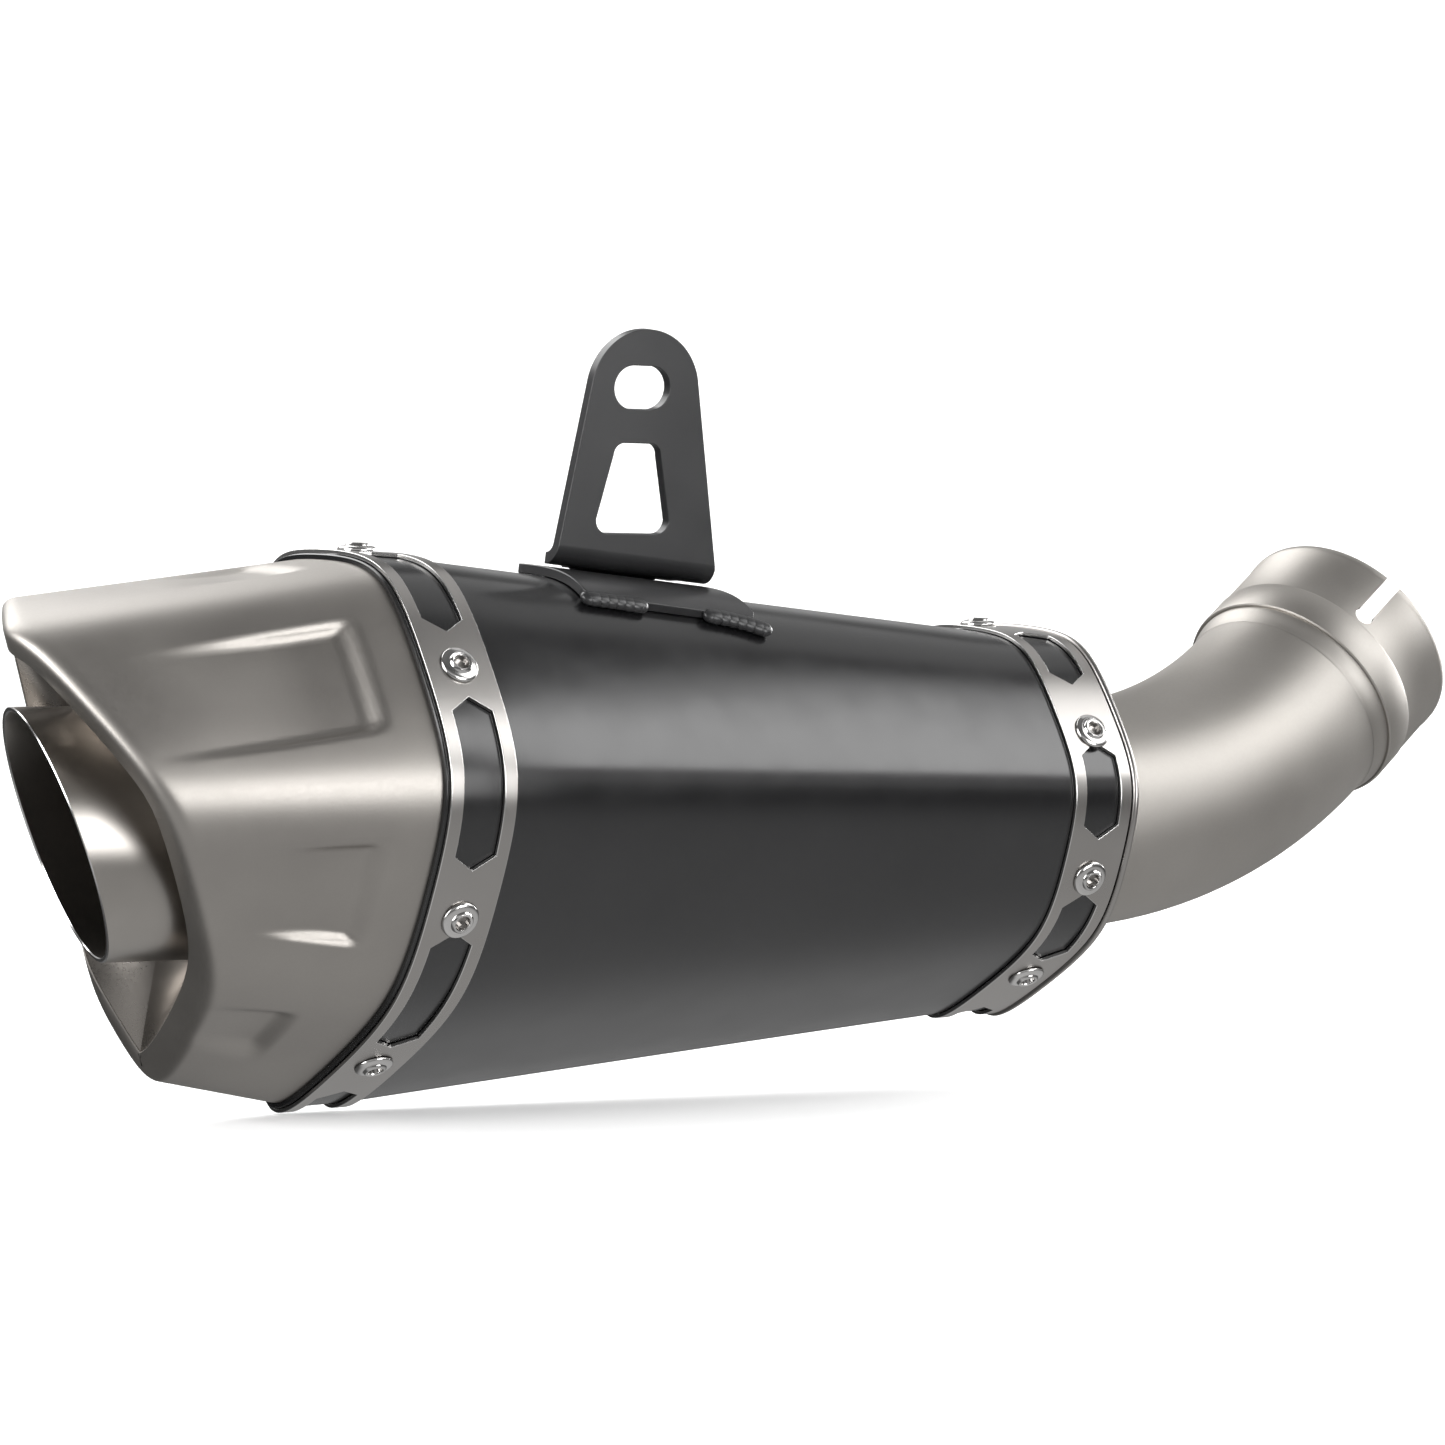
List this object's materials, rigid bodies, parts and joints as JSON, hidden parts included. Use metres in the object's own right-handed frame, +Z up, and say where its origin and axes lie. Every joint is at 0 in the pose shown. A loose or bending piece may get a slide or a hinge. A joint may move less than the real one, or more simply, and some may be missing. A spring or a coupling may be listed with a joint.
{
  "type": "exhaust muffler",
  "caption": "Tapered six-sided slip-on motorcycle muffler with riveted bands, slanted outlet cap, bent inlet pipe with slotted collar, and a welded hanger tab.",
  "frame": {"origin": "centre of the inlet collar's mouth", "axes": "+X from the outlet end to the inlet end along the can, +Z up towards the hanger, -Y the outer side of the motorcycle"},
  "size_m": [0.4319, 0.099, 0.193],
  "materials": {
    "sleeve": "satin black ceramic coat",
    "hanger": "fine-textured black powder coat",
    "titanium": null,
    "pipe": "fine satin",
    "stainless": "satin with bright cut edges",
    "rivet": "polished",
    "weld": "as welded, straw tint",
    "inner_steel": "mill finish",
    "steel_wool": "fibrous",
    "glass_wool": "loose fibre mat"
  },
  "bodies": {
    "root": {"outer_sleeve": "sleeve", "outlet_end_cap": "titanium", "outlet_cup": "titanium", "outlet_tube": "pipe", "outlet_tube_weld": "weld", "outlet_bulkhead": "inner_steel", "outlet_band": "stainless", "outlet_rivets": "rivet", "inlet_band": "stainless", "inlet_rivets": "rivet", "inlet_end_cap": "stainless", "inlet_pipe": "pipe", "inlet_pipe_weld": "weld", "inlet_collar": "pipe", "collar_weld": "weld", "inlet_cone": "inner_steel", "perforated_core": "inner_steel", "core_slip_ring": "steel_wool", "steel_wool_wrap": "steel_wool", "glass_wool_packing": "glass_wool", "hanger_tab": "hanger", "hanger_saddle": "hanger", "tab_weld": "hanger", "saddle_welds": "hanger"}
  },
  "joints": []
}
